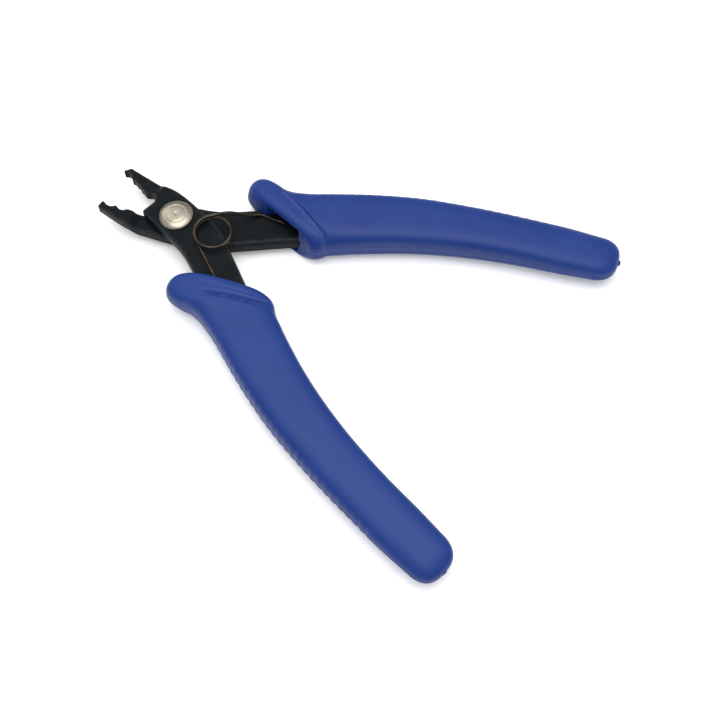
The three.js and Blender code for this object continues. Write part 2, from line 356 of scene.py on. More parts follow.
def nickel():
    """Bright plating with faint stains and small pits."""
    s = Shader("nickel_plate", Metallic=1.0)
    stain = s.noise(700, 4, 0.6)
    fine = s.noise(5200, 4, 0.65)
    base = s.mix(s.range(stain, 0.36, 0.66), NICKEL_DARK, NICKEL_LIGHT)
    pits = s.range(s.noise(2100, 2), 0.62, 0.72)
    base = s.mix(s.math("MULTIPLY", pits, 0.35), base, NICKEL_PITS)
    rough = s.range(stain, 0.35, 0.65, 0.24, 0.34)
    return s.finish(base, rough, s.bump(fine, 0.16, 0.00003))


def spring_wire():
    """Brown-black drawn wire."""
    s = Shader("spring_wire", Metallic=0.85)
    tone = s.noise(420, 3)
    drawn = s.noise(3500, 3, 0.6)
    base = s.mix(s.range(tone, 0.35, 0.65), WIRE_DARK, WIRE_LIGHT)
    rough = s.range(drawn, 0.3, 0.7, 0.30, 0.46)
    return s.finish(base, rough, s.bump(drawn, 0.2, 0.00003))


def blue_vinyl():
    """Satin moulded vinyl: slow waves, a fine pebble, and a painted highlight in paler blue along the lip's
    crests and the parting line.
    """
    s = Shader("blue_vinyl", IOR=1.48, Specular_IOR_Level=0.24)
    cloud = s.noise(70, 3)
    pebble = s.noise(3300, 3, 0.6)
    flow = s.noise(190, 2)
    base = s.mix(s.range(cloud, 0.35, 0.65), VINYL_DARK, VINYL_LIGHT)
    # painted highlight: paler blue on the crest marks, along the lip's crests and the parting line, broken
    # up by the pebble
    painted_highlight = s.math("MULTIPLY", s.attribute("crest"), s.range(pebble, 0.35, 0.62), clamp=True)
    base = s.mix(painted_highlight, base, VINYL_PAINTED_HIGHLIGHT)
    rough = s.math("ADD", s.range(pebble, 0.3, 0.7, 0.36, 0.48), s.range(cloud, 0.3, 0.7, -0.03, 0.04))
    normal = s.bump(flow, 0.12, 0.0002)
    normal = s.bump(pebble, 0.22, 0.00005, under=normal)
    return s.finish(base, rough, normal)


# ---- the steel halves ----
# where each jaw starts and ends its step towards the mating plane, and how much of the step
# is an even slope rather than a smooth curve
JOG = {UPPER: (-8.5, -10.9), LOWER: (-8.95, -12.2)}
JOG_EVEN = 0.3

# The outline of a half goes round as runs that meet at corners: jaw, boss, arm and back.
BOSS_FRONT = -7.15
LOWER_JAW = [
    [(-20.8, -1.65), (-20.6, -0.95), (-20.32, -0.15), (-20.05, 0.2), (-19.8, 0.1), (-19.3, -0.3),
     (-18.6, -0.68), (-17.6, -0.76), (-16.9, -0.52), (-16.4, -0.18)],
    [(-16.4, -0.18), (-15.9, -0.62), (-15.4, -0.94), (-14.8, -1.12), (-14.2, -1.04), (-13.7, -0.8),
     (-13.2, -0.52)],
    [(-13.2, -0.52), (-12.4, -0.55), (-11.4, -0.68)],
    [(-11.4, -0.68), (-10.9, -0.82), (-10.3, -0.78), (-9.4, -0.6)],
    [(-9.4, -0.6), (-8.4, -0.2), (-7.7, 0.5), (BOSS_FRONT, 1.4)],
]
LOWER_BACK = [(1.5, -5.4), (-1.6, -5.35), (-3.3, -5.25), (-5, -5.12), (-6.7, -5.0), (-8.4, -4.9),
              (-10.1, -4.9), (-11.3, -4.84), (-13.1, -4.5), (-14.9, -3.9), (-16.8, -3.17),
              (-18.8, -2.42), (-20.8, -1.65)]
UPPER_JAW = [
    [(-19.75, -1.85), (-20.2, -1.65), (-20.45, -1.15), (-20.7, -0.5), (-20.95, 0.0), (-20.85, 0.25),
     (-20.5, -0.1), (-20.0, -0.46), (-19.3, -0.62), (-18.5, -0.43), (-17.95, -0.03), (-17.6, 0.24)],
    [(-17.6, 0.24), (-17.1, 0.0), (-16.5, -0.02), (-15.6, 0.14)],
    [(-15.6, 0.14), (-15.2, 0.0), (-14.7, 0.07), (-13.9, 0.4)],
    [(-13.9, 0.4), (-13.2, 0.34), (-12.6, 0.45), (-11.6, 0.43)],
    [(-11.6, 0.43), (-11.1, 0.02), (-10.5, -0.37), (-9.7, -0.38)],
    [(-9.7, -0.38), (-8.6, -0.2), (-7.7, 0.5), (BOSS_FRONT, 1.4)],
]
UPPER_BACK = [(1.5, -5.4), (-0.7, -5.37), (-3, -5.26), (-5, -5.02), (-6.9, -4.6), (-8.4, -4.05),
              (-10.8, -3.6), (-12.7, -3.22), (-14.7, -2.84), (-16.6, -2.46), (-18.3, -2.15),
              (-19.75, -1.85)]
BOSS = [
    [(BOSS_FRONT, 1.4), (-7.2, 4.6)],
    [(-7.2, 4.6), (-7.0, 5.15), (-6.6, 5.35)],
    [(-6.6, 5.35), (3.0, 5.32)],
]
ARM_OUTER = [(3.0, 5.32), (7, 5.55), (10, 6.05), (12.5, 6.75), (16.7, 8.1), (22, 10.2), (30, 13.0),
             (40, 15.5), (50, 17.3), (62, 18.6), (75, 19.15), (88, 19.3), (96.5, 19.3)]
ARM_END = [(96.5, 19.3), (97.6, 18.9), (98, 17.7), (97.6, 16.5), (96.5, 16.1)]
ARM_INNER = [(96.5, 16.1), (84, 15.5), (72, 14.1), (62, 11.9), (50, 8.3), (38, 4.5), (28, 1.25),
             (20, -1.75), (16, -3.2), (12.4, -4.6), (8, -5.15), (1.5, -5.4)]
OUTLINE_STEP = 0.3

JAW_ROUNDING = 0.07
EDGE_ROUNDING = 0.2
MITRE_LIMIT = 0.6
# a broad bevel on the inner edge of the arm, on the face towards the other half
BEVEL_WIDTH = 1.0
BEVEL_DEPTH = 0.55
BEVEL_RISE = (9.5, 13)
BEVEL_FADE = (30, 44)
# how bright each ring of a rounded edge and of the broad bevel is painted, from the side face to the flat
# face, in the holes, and on the flat face next to its rim: bare edges from wear, and a painted highlight
# along the rims, brightest on the top edge of the bevel
EDGE_WEAR_AND_HIGHLIGHT = (0.0, 0.3, 0.7, 0.8)
BEVEL_WEAR_AND_HIGHLIGHT = (0.3, 0.0, 0.0, 1.0)
HOLE_WEAR = 0.3
RIM_WEAR_AND_HIGHLIGHT = 0.8
RIM_WEAR_AND_HIGHLIGHT_WIDTH = 0.12
# the brown stain of the jaw's step: its middle, its width along X and its fade along Y
STAIN_X, STAIN_Y = -9.6, -2.2
STAIN_WIDTH = 1.3
STAIN_FADE = (2, 5)
# points inside the flat faces: start, end and pitch along X, closest where the jaw steps
GRID_BANDS = ((-22, -12.4, 0.6), (-12.4, -7.4, 0.32), (-7.4, 36, 0.8), (36, 98, 2.4))
GRID_Y = (-6, 21)
GRID_MARGIN = 0.2


def jog(x, side):
    """How far the jaw has stepped towards the mating plane, at each X."""
    start, end = JOG[side]
    t = np.clip((start - x) / (start - end), 0, 1)
    return (PLATE_FOOT + PLATE / 2) * (JOG_EVEN * t + (1 - JOG_EVEN) * smooth(0, 1, t))


def inward_steps(outline):
    """For each point of a closed outline, the move that takes both its edges inwards by one."""
    before, after = np.roll(outline, 1, axis=0), np.roll(outline, -1, axis=0)
    turn = np.sign(np.sum(outline[:, 0] * after[:, 1] - after[:, 0] * outline[:, 1]))
    normals = []
    for edge in (outline - before, after - outline):
        edge = edge / np.linalg.norm(edge, axis=1)[:, None]
        normals.append(np.column_stack([-edge[:, 1], edge[:, 0]]) * turn)
    inward = normals[0] + normals[1]
    return inward / np.maximum(np.sum(inward * normals[0], axis=1), MITRE_LIMIT)[:, None]


def fill_flat(shell, rim, level, holes):
    """Fills the flat face inside a rim with triangles, except for its holes."""
    hole_rings = [circle(radius, count, centre) for centre, radius, count in holes]
    grid = []
    for x_start, x_end, pitch in GRID_BANDS:
        for i, x in enumerate(np.arange(x_start + pitch / 2, x_end, pitch)):
            for y in np.arange(GRID_Y[0] + pitch * (i % 2) / 2, GRID_Y[1], pitch):
                grid.append((x, y))
    grid = np.array(grid)
    keep = inside(grid, rim) & (distance_to(grid, rim, closed=True) > GRID_MARGIN)
    for ring in hole_rings:
        keep &= ~inside(grid, ring) & (distance_to(grid, ring, closed=True) > GRID_MARGIN)
    edges = []
    start = 0
    for ring in (rim, *hole_rings):
        n = len(ring)
        edges += [(start + i, start + (i + 1) % n) for i in range(n)]
        start += n
    flat = [Vector(p) for p in np.vstack([rim, *hole_rings, grid[keep]])]
    filled, _, triangles, _, _, _ = delaunay_2d_cdt(flat, edges, [], 0, 1e-6)
    filled = np.array([tuple(p) for p in filled])
    middles = np.array([filled[list(t)].mean(axis=0) for t in triangles])
    good = inside(middles, rim)
    for ring in hole_rings:
        good &= ~inside(middles, ring)
    wear_and_highlight = RIM_WEAR_AND_HIGHLIGHT * np.exp(-distance_to(filled, rim, closed=True) / RIM_WEAR_AND_HIGHLIGHT_WIDTH)
    numbers = shell.add(lifted(filled, level), wear_and_highlight)
    shell.faces.extend(tuple(numbers[i] for i in t) for t, g in zip(triangles, good) if g)


def plate(name, jaw, back, holes, side):
    """One stamped half, with rounded edges, a broad bevel on its arm and a stepped jaw."""
    runs = [*jaw, *BOSS, ARM_OUTER, ARM_END, ARM_INNER, back]
    outline, run = chain(runs, OUTLINE_STEP)
    inward = inward_steps(outline)
    rounding = np.where(run < len(jaw) - 1, JAW_ROUNDING, EDGE_ROUNDING)
    for _ in range(3):
        rounding = np.minimum(rounding, (np.roll(rounding, 1) + rounding + np.roll(rounding, -1)) / 3)
    x = outline[:, 0]
    broad = np.where(run == runs.index(ARM_INNER), smooth(*BEVEL_RISE, x) * (1 - smooth(*BEVEL_FADE, x)), 0)

    shell = Shell()
    side_rings, rims = [], []
    for level, towards_middle, bevel in ((PLATE_TOP, -1, 0 * broad), (PLATE_FOOT, 1, broad)):
        rings = []
        for j, share in enumerate(np.linspace(0, 1, len(EDGE_WEAR_AND_HIGHLIGHT))):
            a = share * math.pi / 2
            inset = rounding * (1 - math.cos(a)) * (1 - bevel) + BEVEL_WIDTH * share * bevel
            drop = rounding * (1 - math.sin(a)) * (1 - bevel) + BEVEL_DEPTH * (1 - share) * bevel
            wear_and_highlight = EDGE_WEAR_AND_HIGHLIGHT[j] * (1 - broad) + BEVEL_WEAR_AND_HIGHLIGHT[j] * broad
            ring = lifted(outline + inward * inset[:, None], level + towards_middle * drop)
            rings.append(shell.add(ring, wear_and_highlight))
        shell.join(*rings)
        side_rings.append(rings[0])
        rims.append((level, rings[-1]))
    shell.join(*side_rings)
    for level, rim in rims:
        fill_flat(shell, np.array([shell.points[i][:2] for i in rim]), level, holes)
    for centre, radius, count in holes:
        ring = circle(radius, count, centre)
        shell.join(*[shell.add(lifted(ring, z), HOLE_WEAR) for z in (PLATE_FOOT, PLATE_TOP)])

    points = np.array(shell.points)
    x, y = points[:, 0], points[:, 1]
    stain = bell(x, STAIN_X, STAIN_WIDTH) * (1 - smooth(*STAIN_FADE, abs(y - STAIN_Y)))
    points[:, 2] -= jog(x, side)
    # the edge attribute carries the wear and the painted highlight along the rims
    obj = mesh_object(name, on_side(points, side), shell.faces, 40, {"edge": shell.marks, "heat": stain})
    even = obj.modifiers.new("even", "WEIGHTED_NORMAL")
    even.keep_sharp = True
    return obj


# ---- the grips ----
# Each entry is one section across the grip: its outer end, its inner end, its height at the
# outer end above and below the parting line, its height over the rest, and how square its
# outer shoulders above and below and its inner shoulders are.
SECTIONS = [
    ((17.3, 9.0), (32.1, 0.25), 4.9, 3.2, 4.9, 3.6, 2.1, 3.2),
    ((15.4, 10.4), (32.8, -0.4), 4.9, 3.1, 5.0, 3.4, 2.0, 3.2),
    ((14.7, 12.2), (33.7, -0.72), 4.9, 3.0, 5.0, 3.3, 2.0, 3.2),
    ((14.9, 14.1), (34.8, -0.66), 4.9, 3.0, 5.0, 3.3, 2.0, 3.2),
    ((16.0, 15.7), (35.9, -0.15), 4.9, 3.1, 5.0, 3.3, 2.0, 3.3),
    ((17.9, 16.4), (36.9, 0.55), 4.9, 3.3, 5.0, 3.4, 2.1, 3.4),
    ((20.2, 16.0), (37.9, 1.2), 4.85, 3.7, 4.95, 3.5, 2.3, 3.5),
    ((22.3, 15.0), (39.1, 1.7), 4.85, 4.1, 4.9, 3.6, 2.7, 3.6),
    ((24.8, 14.6), (40.5, 2.15), 4.8, 4.6, 4.85, 3.6, 3.3, 3.7),
    ((28.5, 15.1), (43.2, 3.1), 4.8, 4.7, 4.8, 3.6, 3.6, 3.8),
    ((35.0, 16.8), (47.5, 4.6), 4.8, 4.8, 4.8, 3.8, 3.8, 3.8),
    ((45.0, 19.4), (54.0, 6.6), 4.75, 4.75, 4.75, 3.7, 3.7, 3.7),
    ((57.0, 21.8), (62.0, 8.5), 4.65, 4.65, 4.65, 3.4, 3.4, 3.5),
    ((71.0, 23.2), (73.0, 10.3), 4.4, 4.4, 4.4, 3.0, 3.0, 3.3),
    ((86.0, 23.8), (86.5, 11.4), 4.05, 4.05, 4.05, 2.7, 2.7, 3.1),
    ((97.0, 23.9), (97.0, 11.65), 3.65, 3.65, 3.65, 2.5, 2.5, 3.0),
    ((103.6, 23.6), (103.2, 11.95), 3.4, 3.4, 3.4, 2.4, 2.4, 2.9),
]
SECTION_POINTS = 45
BEND_WEIGHT = 0.9
OUTER_HEIGHT_SHARE = 0.42
# the grip's floor is flat, where it lies on the table
GRIP_FLOOR = -4.9
# the added sections are closest at the mouth, then along the collar, then along the handle
COLLAR_SECTION = 9
MOUTH_ROUND = 1.2
COLLAR_STEP = 0.34
HANDLE_STEP = 0.4
# behind the collar the top's inner shoulder and the underside's outer shoulder are squarer
SQUARER_FROM = (24, 38)
SQUARER_INNER = 0.45
SQUARER_UNDER = 0.5

# the mouth's line, and the direction from it into the grip
MOUTH_OUTER, MOUTH_INNER = np.array(SECTIONS[0][0]), np.array(SECTIONS[0][1])
MOUTH_LINE = (MOUTH_INNER - MOUTH_OUTER) / np.linalg.norm(MOUTH_INNER - MOUTH_OUTER)
MOUTH_BACK = np.array([-MOUTH_LINE[1], MOUTH_LINE[0]])
# the mouth leans, so that the top of one handle starts a little behind its underside and the
# top of the other a little ahead; the lean is per millimetre of height, and it fades
MOUTH_LEAN = 0.18
MOUTH_LEAN_FADE = (2, 9)
# how far the front of each handle lies from the common outline, at its outer and inner ends
FRONT_SHIFT = {LOWER: ((-0.05, 0.6), (1.9, 0.9)), UPPER: ((-1.85, 0.1), (0.35, 0.1))}
FRONT_SHIFT_FADE = (4, 15)

# the lip rounds over towards the mouth by this much in height and depth, and by more at the
# outer end, on the finger guard, and at the inner end
LIP_FALL = 0.9
LIP_FALL_OUTER = 1.0
LIP_FALL_INNER = 1.2
LIP_REACH = 1.5
LIP_REACH_OUTER = 1.4
# the back edge of the lip's raised band
RIDGE = {
    LOWER: [(23.0, 13.2), (24.6, 11.2), (28.9, 8.0), (32.0, 5.0), (33.8, 3.4), (35.3, 2.2),
            (36.4, 0.6), (37.2, -1.1)],
    UPPER: [(21.6, 12.2), (23.8, 10.2), (26.8, 7.75), (29.9, 5.7), (32.4, 4.1), (34.4, 2.5),
            (35.4, 1.3), (35.9, 0.1)],
}
# the heights of the band and of the crest on its back edge, on the finger guard and at full
# strength, of the small crest near the mouth, and the depth of the groove behind the band
BAND_HEIGHT = (0.05, 0.39)
CREST_HEIGHT = (0.08, 0.18)
FRONT_CREST_HEIGHT = 0.1
GROOVE_DEPTH = 0.34

# the mould's parting line stands out all round, except next to the mouth
FLASH = 0.1
FLASH_FROM = (0.3, 1.5)
RIB_PITCH = 2.4
RIB_DEPTH = 0.2
RIB_SHARPNESS = 1.5
RIB_RISE, RIB_FADE = (28, 32), (90.5, 94.5)

GRIP_END_X = 110.2
GRIP_END_POWER = 2.65
GRIP_END_ANGLES = (10, 20, 30, 40, 48, 56, 63, 70, 76, 81)
# the mould's gate mark, as radius and reach, and how much of that reach each handle has
GATE_PROFILE = ((0.8, 0.0), (0.72, 0.08), (0.68, 0.28), (0.56, 0.42), (0.28, 0.48), (0.06, 0.49))
GATE_REACH = {LOWER: 1.0, UPPER: 0.35}

# the pocket follows the arm, and the throat is a taller recess at the mouth, clear of the spring
POCKET_GAP = 0.3
POCKET_OUTLINE = [
    [(9, 5.6), (12.5, 6.75), (16.7, 8.1), (22, 10.2), (30, 13.0), (40, 15.5), (50, 17.3), (62, 18.6),
     (75, 19.15), (88, 19.3), (98, 19.3)],
    [(98, 19.3), (98, 16.1)],
    [(98, 16.1), (84, 15.5), (72, 14.1), (62, 11.9), (50, 8.3), (38, 4.5), (28, 1.25), (20, -1.75),
     (9, -5.8)],
    [(9, -5.8), (9, 5.6)],
]
THROAT_HEIGHT = 3.9
THROAT_OUTLINE = [
    [(9, 3.4), (16.7, 5.9), (22, 8.0), (31, 11.2)],
    [(31, 11.2), (31, 2.2)],
    [(31, 2.2), (28, 1.25), (20, -1.75), (9, -5.8)],
    [(9, -5.8), (9, 3.4)],
]
GRIP_SHARP = 38


def between(ends, share):
    return ends[0] + (ends[1] - ends[0]) * share


def grip_stations():
    """Close sections along a grip: outer ends, inner ends, forms, and how far along each one is."""
    outer = np.array([s[0] for s in SECTIONS], float)
    inner = np.array([s[1] for s in SECTIONS], float)
    form = np.array([s[2:] for s in SECTIONS], float)
    knots = np.r_[0, np.cumsum((segment_lengths(outer) + segment_lengths(inner)) / 2)]
    collar_end = knots[COLLAR_SECTION]
    mouth = np.linspace(0, 1, 7)[:-1] ** 1.5 * MOUTH_ROUND
    collar = np.arange(MOUTH_ROUND, collar_end, COLLAR_STEP)
    handle = np.arange(collar_end, knots[-1], HANDLE_STEP)
    at = np.r_[mouth, collar, handle, knots[-1]]
    return hermite(knots, outer, at), hermite(knots, inner, at), hermite(knots, form, at), at


def shoulder(half_width, height, outer_power, inner_power):
    """Half a section, from its outer to its inner end, with points closest where it bends most.

    Returns their places across, from -1 to 1, and their shares of the height."""
    a = np.linspace(0, math.pi, 801)
    c, s = np.cos(a), np.sin(a)
    power = np.where(c > 0, outer_power, inner_power)
    across = -np.sign(c) * np.abs(c) ** (2 / power)
    up = np.abs(s) ** (2 / power)
    d = np.column_stack([np.diff(across) * half_width, np.diff(up) * height])
    length = np.linalg.norm(d, axis=1)
    direction = np.unwrap(np.arctan2(d[:, 1], d[:, 0]))
    bend = np.abs(np.diff(direction, prepend=direction[0]))
    measure = np.r_[0, np.cumsum(length / length.sum() + BEND_WEIGHT * bend / bend.sum())]
    at = np.linspace(0, measure[-1], SECTION_POINTS)
    return np.interp(at, measure, across), np.interp(at, measure, up)


def lip_fall(share, depth):
    """How much lower the lip is where it rounds over towards the mouth."""
    fall = LIP_FALL + LIP_FALL_OUTER * (1 - smooth(0.0, 0.2, share))
    fall += LIP_FALL_INNER * smooth(0.88, 1.0, share)
    reach = LIP_REACH + LIP_REACH_OUTER * (1 - smooth(0.0, 0.25, share))
    roll = np.clip(depth / reach, 0, 1)
    return fall * (1 - np.sqrt(1 - (1 - roll) ** 2))


def lip_relief(xy, share, depth, ridge):
    """How far the lip's band, crests and groove stand out, and how much each point is on a crest, which
    sets the painted highlight there.
    """
    nearest = ridge[np.argmin(np.linalg.norm(xy[:, None] - ridge[None], axis=2), axis=1)]
    distance = distance_to(xy, ridge)
    behind = np.where((xy - nearest) @ MOUTH_BACK > 0, distance, -distance)
    strength = smooth(0.12, 0.55, share)
    band = 1 - smooth(-0.15, 0.75, behind)
    crest = bell(behind, -0.25, 0.4)
    front_crest = bell(depth, 1.9, 0.4) * smooth(0.2, 0.5, share)
    groove = bell(behind, 0.6, 0.35)
    lift = between(BAND_HEIGHT, strength) * band + between(CREST_HEIGHT, strength) * crest
    lift += FRONT_CREST_HEIGHT * front_crest - GROOVE_DEPTH * strength * groove
    # the crest mark carries the painted highlight along the lip's crests
    return lift, 0.7 * crest * strength + 0.3 * front_crest


def half_section(outer, inner, face, heights, powers, flash, rib, ridge, side):
    """The top (face 1) or the underside (face -1) of one section: its points, and their marks for the
    painted highlight.
    """
    chord = inner - outer
    half_width = np.linalg.norm(chord) / 2
    inwards = chord / (2 * half_width)
    across, up = shoulder(half_width, heights[1], *powers)
    across[1] = across[0] + FLASH / half_width
    across[-2] = across[-1] - FLASH / half_width
    share = (across + 1) / 2
    xy = outer + share[:, None] * chord
    depth = (xy - MOUTH_OUTER) @ MOUTH_BACK
    height = between(heights, smooth(0.0, OUTER_HEIGHT_SHARE, share)) - lip_fall(share, depth)
    lift, marks = lip_relief(xy, share, depth, ridge)
    z = face * (height * up + lift * smooth(0.3, 1.0, up))
    # ribs low on the outer side wall
    cut = rib * smooth(0.80, 0.97, -across) * (1 - smooth(0.62, 0.82, up))
    xy = xy + inwards * cut[:, None]
    xy[0] -= inwards * flash
    xy[-1] += inwards * flash
    lean = MOUTH_LEAN * side * z * (1 - smooth(*MOUTH_LEAN_FADE, depth))
    shift = np.outer(1 - share, FRONT_SHIFT[side][0]) + np.outer(share, FRONT_SHIFT[side][1])
    shift *= (1 - smooth(*FRONT_SHIFT_FADE, depth))[:, None]
    xy = xy + MOUTH_BACK * lean[:, None] + shift
    marks = marks * (face > 0)
    # the painted highlight also runs along the parting line
    marks[[0, -1]] = flash / FLASH
    return lifted(xy, np.maximum(z, GRIP_FLOOR)), marks


def grip_end(shell, last_ring, middle, side):
    """Rings of the rounded far end, with the small gate mark of the mould on it."""
    last = np.array([shell.points[i] for i in last_ring])
    centre = np.array([*middle, 0])
    rings = []
    for a in np.radians(GRIP_END_ANGLES):
        ring = centre + (last - centre) * math.cos(a) ** (2 / GRIP_END_POWER)
        ring[:, 0] += (GRIP_END_X - centre[0]) * math.sin(a) ** (2 / GRIP_END_POWER)
        rings.append(shell.add(ring))
    angle = np.arctan2(last[:, 2], last[:, 1] - centre[1])
    for radius, reach in GATE_PROFILE:
        x = np.full(len(last), GRIP_END_X + reach * GATE_REACH[side])
        ring = np.column_stack([x, centre[1] + radius * np.cos(angle), radius * np.sin(angle)])
        rings.append(shell.add(ring))
    return rings


def grip(name, side):
    """One handle. It is shaped with Z up on the table and turned over at the end for the lower half."""
    outer, inner, form, at = grip_stations()
    along = running_length(outer)
    ridge = spline(RIDGE[side], 0.4)
    shell = Shell()
    rings = []
    for k in range(len(at)):
        x = outer[k][0]
        h_top, h_under, h_rest, p_top, p_under, p_inner = form[k]
        squarer = smooth(*SQUARER_FROM, x)
        flash = FLASH * smooth(*FLASH_FROM, at[k])
        wave = 0.5 - 0.5 * math.cos(2 * math.pi * along[k] / RIB_PITCH)
        rib = RIB_DEPTH * smooth(*RIB_RISE, x) * (1 - smooth(*RIB_FADE, x)) * wave**RIB_SHARPNESS
        faces = (
            (1, (h_top, h_rest), (p_top, p_inner + squarer * SQUARER_INNER)),
            (-1, (h_under, h_rest), (p_under + squarer * SQUARER_UNDER, p_inner)),
        )
        (top, top_highlight), (under, under_highlight) = [
            half_section(outer[k], inner[k], face, heights, powers, flash, rib, ridge, side)
            for face, heights, powers in faces
        ]
        ring = np.vstack([top, under[-2:0:-1]])
        rings.append(shell.add(ring, np.r_[top_highlight, under_highlight[-2:0:-1]]))
    rings += grip_end(shell, rings[-1], (outer[-1] + inner[-1]) / 2, side)
    shell.join(*rings)
    shell.faces.append(tuple(rings[-1]))

    # the front is closed by strips between its top and its underside
    front = rings[0]
    n = len(front)
    for i in range(SECTION_POINTS - 1):
        strip = (front[i], front[i + 1], front[(n - i - 1) % n], front[(n - i) % n])
        shell.faces.append(tuple(dict.fromkeys(strip)))

    points = np.array(shell.points) * (1, 1, -side)
    # the crest attribute carries the painted highlight
    obj = mesh_object(name, on_side(points, side), shell.faces, GRIP_SHARP, {"crest": shell.marks})
    cut_out(obj, POCKET_OUTLINE, PLATE_FOOT - POCKET_GAP, PLATE_TOP + POCKET_GAP, side)
    cut_out(obj, THROAT_OUTLINE, -THROAT_HEIGHT, THROAT_HEIGHT, side)
    shade(obj.data, GRIP_SHARP)
    return obj


def cut_out(obj, outline, low, high, side):
    """Takes an upright prism, a gap wider than its outline all round, out of a grip."""
    loop, _ = chain(outline, 1.0)
    direction = np.roll(loop, -1, axis=0) - np.roll(loop, 1, axis=0)
    direction /= np.linalg.norm(direction, axis=1)[:, None]
    grown = loop + np.column_stack([-direction[:, 1], direction[:, 0]]) * POCKET_GAP
    shell = Shell()
    ends = [shell.add(lifted(grown, z)) for z in (low, high)]
    shell.faces.extend(tuple(end) for end in ends)
    shell.join(*ends)
    cutter = mesh_object("cutter", on_side(shell.points, side), shell.faces, GRIP_SHARP)
    step = obj.modifiers.new("cut_out", "BOOLEAN")
    step.object = cutter
    step.solver = "EXACT"
    bpy.context.view_layer.update()
    cut = bpy.data.meshes.new_from_object(obj.evaluated_get(bpy.context.evaluated_depsgraph_get()))
    obj.modifiers.clear()
    uncut = obj.data
    obj.data = cut
    bpy.data.meshes.remove(uncut)
    bpy.data.objects.remove(cutter)


# ---- the rivet ----
# radius and height above the mating plane, from the middle of the foot to the middle of the head
RIVET_PROFILE = [
    (0, -3.63), (0.25, -3.62), (0.45, -3.68), (2.6, -3.7), (3.0, -3.68), (3.35, -3.6), (3.7, -3.42),
    (3.88, -3.2), (3.9, -3.0), (3.85, -2.91), (3.0, -2.9), (3.0, 2.9), (4.14, 2.9), (4.28, 2.95),
    (4.33, 3.06), (4.3, 3.2), (4.17, 3.36), (3.9, 3.52), (3.6, 3.66), (3.25, 3.79), (2.9, 3.88),
    (2.62, 3.935), (2.5, 3.895), (2.38, 3.94), (1.6, 3.985), (0.75, 4.0), (0.5, 3.98), (0.3, 3.93),
    (0, 3.91),
]
RIVET_SIDES = 120
BORE_RADIUS = 3.08
BORE_SIDES = 64


def rivet():
    """A closed foot, a shank and a low domed head with a faint ring."""
    shell = Shell()
    shell.join(*[shell.add(lifted(circle(radius, RIVET_SIDES), z)) for radius, z in RIVET_PROFILE])
    return mesh_object("rivet", in_frame(shell.points), shell.faces, 30)


# ---- the spring ----
WIRE = 0.8
WIRE_SIDES = 16
WIRE_RINGS = 420
WIRE_END_TAPER = 0.75
COIL_X = 11.2
COIL_RADIUS = 4.55
COIL_PITCH = 0.96
COIL_POINTS = 57
# each leg: its heading in degrees and its length, then the same for the last stretch before its hook
UPPER_LEG = (-33, 16.0, -22, 3.2)
LOWER_LEG = (45, 12.6, 8, 7.5)
HOOK_DEPTH = 1.9
HOOK_ROUND = 0.6
HOOK_HOLE_RADIUS = 0.75
HOOK_HOLE_SIDES = 24
# the wire rests this far above the plates
WIRE_LIFT = 0.1
ON_UPPER = PLATE_TOP + WIRE_LIFT + WIRE / 2
ON_LOWER = -PLATE_FOOT + WIRE_LIFT + WIRE / 2
# the lower leg stays level with the coil for this share of its length, then slopes down
LEVEL_SHARE = 0.27
# how far into each leg, from the coil, the turn mark changes
UPPER_SPREAD, LOWER_SPREAD = (13, 1), (1, 10)


def heading(degrees):
    return np.array([math.cos(math.radians(degrees)), math.sin(math.radians(degrees)), 0])


def coil(share):
    """A point of the coil, from 0 at the upper leg to 1 at the lower leg."""
    start = UPPER_LEG[0] - 90 + 360
    end = LOWER_LEG[0] + 90 - 360
    rise = share * (start - end) / 360 * COIL_PITCH
    return heading(start + (end - start) * share) * COIL_RADIUS + (COIL_X, 0, ON_UPPER + rise)


def leg(origin, spec, level):
    """Where a leg that starts at the origin bends, and where its hook turns down."""
    direction, length, last_direction, last_length = spec
    bend = origin + heading(direction) * length
    bend[2] = level
    return bend, bend + heading(last_direction) * last_length


def hook(bend, foot):
    """Points of the wire from a leg's bend to the end of its hook."""
    before = foot + (bend - foot) / np.linalg.norm(bend - foot) * HOOK_ROUND
    down = np.array([0, 0, -HOOK_DEPTH])
    return [bend, 0.55 * foot + 0.45 * bend, before, foot + 0.35 * down, foot + down]


def slope_down(origin, bend, share):
    """A point of the lower leg on its way from the coil down to its bend."""
    p = origin + (bend - origin) * share
    p[2] = between((origin[2], bend[2]), smooth(LEVEL_SHARE, 1.0, share))
    return p


upper_bend, upper_foot = leg(coil(0), UPPER_LEG, ON_UPPER)
lower_bend, lower_foot = leg(coil(1), LOWER_LEG, ON_LOWER)


